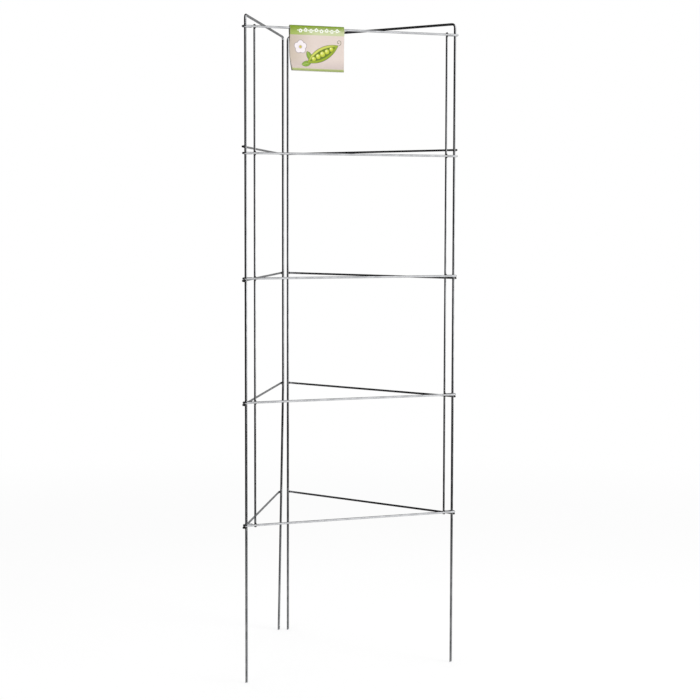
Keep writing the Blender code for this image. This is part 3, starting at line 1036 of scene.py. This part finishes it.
def print_pod(sheet):
    """An open pod of five peas with two leaves and a curled tendril."""
    tree = sheet.tree
    for centre, degrees in LEAF_PLACES:
        sheet.lay_leaf(centre, degrees, LEAF_OUTLINE, OUTLINE_GREEN)
        leaf = sheet.lay_leaf(centre, degrees, LEAF, LEAF_GREEN)
        vein = ramp_of(tree, maths(tree, "ABSOLUTE", leaf.outputs["Across"]), *VEIN_EDGES)
        sheet.lay(maths(tree, "MULTIPLY", vein, leaf.outputs["Inside"]), VEIN_GREEN)
    along = Vector((math.cos(math.radians(POD_TURN)), math.sin(math.radians(POD_TURN))))
    tip = POD_CENTRE + along * POD_TIP
    print_tendril(sheet, tip, tip + TENDRIL_EYE)
    sheet.lay_leaf(POD_CENTRE, POD_TURN, POD_OUTLINE, OUTLINE_GREEN)
    pod = sheet.lay_leaf(POD_CENTRE, POD_TURN, POD, POD_GREEN)
    lit = ramp_of(tree, pod.outputs["Across"], *LIT_POD_FADES)
    sheet.lay(maths(tree, "MULTIPLY", lit, pod.outputs["Inside"]), LIT_POD_GREEN)
    sheet.lay_leaf(POD_CENTRE, POD_TURN, MOUTH_OUTLINE, OUTLINE_GREEN)
    sheet.lay_leaf(POD_CENTRE, POD_TURN, MOUTH, MOUTH_GREEN)
    for step in PEA_STEPS:
        pea = POD_CENTRE + along * PEA_PITCH * step
        radius = PEA_RADIUS - PEA_SHRINKS * abs(step)
        sheet.lay_disc(pea, radius, OUTLINE_GREEN)
        for shift, rim, colour in PEA_LAYERS:
            sheet.lay_disc(pea + shift, radius - rim, colour)
        sheet.lay_disc(pea + GLINT_SHIFT, GLINT_RADIUS, GLINT)


FIBRE_NOISE = (3.2, 4.0, 0.6)
FIBRE_DEPTH = 0.00004
SCUFF_NOISE = (0.16, 4.0, 0.75)
SCUFF_EDGES = (0.56, 0.72)
SATIN_ROUGHNESS = 0.42
SCUFFED_ROUGHNESS = 0.6
WORN_BOARD = ink(224, 216, 204)
WORN_EDGE_DOWN = 72.5
WORN_EDGE_BITE = 1.1
WORN_EDGE_FADES = (0.0, -0.35)
WORN_EDGE_COVER = 0.8


def make_printed_side():
    """The whole print, its satin, and the fibres of the board under it."""
    material, tree, output = blank_material("printed_card_front")
    sheet = Print(tree, make_disc_group(), make_leaf_group())
    print_bands(sheet)
    print_garland(sheet)
    print_blossom(sheet)
    print_pod(sheet)
    shader, = add_nodes(tree, "BsdfPrincipled")
    fibres = noise_of(tree, sheet.place, *FIBRE_NOISE)
    scuffs = ramp_of(tree, noise_of(tree, sheet.place, *SCUFF_NOISE), *SCUFF_EDGES)
    side = maths(tree, "MINIMUM", sheet.x, maths(tree, "SUBTRACT", CARD_WIDTH * MILLIMETRES, sheet.x))
    foot = maths(tree, "SUBTRACT", WORN_EDGE_DOWN, maths(tree, "ABSOLUTE", sheet.y))
    edge = maths(tree, "MULTIPLY_ADD", fibres, -WORN_EDGE_BITE, maths(tree, "MINIMUM", side, foot))
    worn = ramp_of(tree, edge, *WORN_EDGE_FADES, 0.0, WORN_EDGE_COVER)
    rough = ramp_of(tree, scuffs, 0.0, 1.0, SATIN_ROUGHNESS, SCUFFED_ROUGHNESS)
    wire_up(
        tree,
        (blend_of(tree, worn, sheet.colour, WORN_BOARD), shader.inputs["Base Color"]),
        (rough, shader.inputs["Roughness"]),
        (bump_of(tree, fibres, FIBRE_DEPTH), shader.inputs["Normal"]),
        (shader.outputs[0], output.inputs["Surface"]),
    )
    return material


BOARD_NOISE = (1500.0, 5.0, 0.7)
BOARD_EDGES = (0.3, 0.7)


def make_board(name, colours, roughness, depth):
    """Bare board, mottled by its fibres."""
    material, tree, output = blank_material(name)
    place, shader = add_nodes(tree, "TexCoord", "BsdfPrincipled")
    fibres = noise_of(tree, place.outputs["Object"], *BOARD_NOISE)
    shader.inputs["Roughness"].default_value = roughness
    wire_up(
        tree,
        (blend_of(tree, ramp_of(tree, fibres, *BOARD_EDGES), *colours), shader.inputs["Base Color"]),
        (bump_of(tree, fibres, depth), shader.inputs["Normal"]),
        (shader.outputs[0], output.inputs["Surface"]),
    )
    return material


# The inside is painted nearly black: painted shade for the shade deep in the fold.
SHADED_INSIDE_BOARD = (ink(44, 44, 30), ink(60, 60, 42))
INSIDE_ROUGHNESS = 0.85
INSIDE_DEPTH = 0.00008
# The cut edge is the board's darker core, darkened further: partly its own colour, partly painted shade for
# the fold's open end.
SHADED_CUT_BOARD = (ink(84, 78, 62), ink(116, 108, 88))
CUT_BOARD_ROUGHNESS = 0.9
CUT_BOARD_DEPTH = 0.00015


def make_card():
    """The flat sheet, creased, hung over the rod, curled, and given its thickness."""
    turn = math.asin((CARD_SEAT_RADIUS - CARD_CREASE_RADIUS) / CARD_CREASE_HEIGHT)
    fold_top = CARD_CREASE_HEIGHT + CARD_CREASE_RADIUS + CARD_THICKNESS / 2
    pinch = fold_top - CARD_LOOP_LENGTH
    edge = fold_top - CARD_DROP
    crease_end = CARD_CREASE_RADIUS * (math.pi / 2 - turn)
    flank_end = crease_end + CARD_CREASE_HEIGHT * math.cos(turn)
    seat_end = flank_end + CARD_SEAT_RADIUS * turn
    loop_end = seat_end + math.hypot(CARD_SEAT_RADIUS - CARD_HALF_GAP, pinch)
    reach = loop_end + pinch - edge

    def section(down):
        """How far out from the rod's axis, and how high, the sheet is at a way down from its crease."""
        if down < crease_end:
            angle = math.pi / 2 - down / CARD_CREASE_RADIUS
            return (CARD_CREASE_RADIUS * math.cos(angle),
                    CARD_CREASE_HEIGHT + CARD_CREASE_RADIUS * math.sin(angle))
        if down < flank_end:
            run = flank_end - down
            return (CARD_SEAT_RADIUS * math.cos(turn) - run * math.sin(turn),
                    CARD_SEAT_RADIUS * math.sin(turn) + run * math.cos(turn))
        if down < seat_end:
            angle = (seat_end - down) / CARD_SEAT_RADIUS
            return CARD_SEAT_RADIUS * math.cos(angle), CARD_SEAT_RADIUS * math.sin(angle)
        if down < loop_end:
            share = (down - seat_end) / (loop_end - seat_end)
            ease = share * share * (3 - 2 * share)
            return CARD_SEAT_RADIUS + (CARD_HALF_GAP - CARD_SEAT_RADIUS) * ease, pinch * share
        return CARD_HALF_GAP, pinch - (down - loop_end)

    fold_place = hinges["tag_swing"]
    bm = bmesh.new()
    bmesh.ops.create_grid(
        bm, x_segments=round(CARD_WIDTH / CARD_ACROSS), y_segments=2 * round(reach / CARD_DOWN), size=1.0)
    printed = bm.verts.layers.float_vector.new("print_place")
    for vert in bm.verts:
        across, along = vert.co.x * CARD_WIDTH / 2, -vert.co.y * reach
        vert[printed] = MILLIMETRES * Vector((across + CARD_WIDTH / 2, along, 0))
        out, height = section(abs(along))
        low = max(0.0, (pinch - height) / (pinch - edge))
        curl = CARD_CORNER_CURL * (low * (0.5 - across / CARD_WIDTH)) ** 2
        if along < 0:
            curl *= BACK_FLAP_CURL
        vert.co = fold_place + Vector((across + CARD_SHIFT, -math.copysign(out, along) - curl, height))
    for face in bm.faces:
        face.smooth = True
    printed_side = make_printed_side()
    # The inside and the cut edge carry painted shade in their dark colours.
    shaded_bare_side = make_board("card_inside_painted_shade", SHADED_INSIDE_BOARD, INSIDE_ROUGHNESS, INSIDE_DEPTH)
    cut_edge = make_board("card_cut_edge", SHADED_CUT_BOARD, CUT_BOARD_ROUGHNESS, CUT_BOARD_DEPTH)
    card = place_mesh("folded_card", bm, printed_side, shaded_bare_side, cut_edge)
    wall = card.modifiers.new("wall", "SOLIDIFY")
    wall.thickness = CARD_THICKNESS
    wall.offset = 0.0
    wall.use_even_offset = True
    wall.material_offset = 1
    wall.material_offset_rim = 2
    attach(card, "tag")
    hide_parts("tag_card")


make_card()
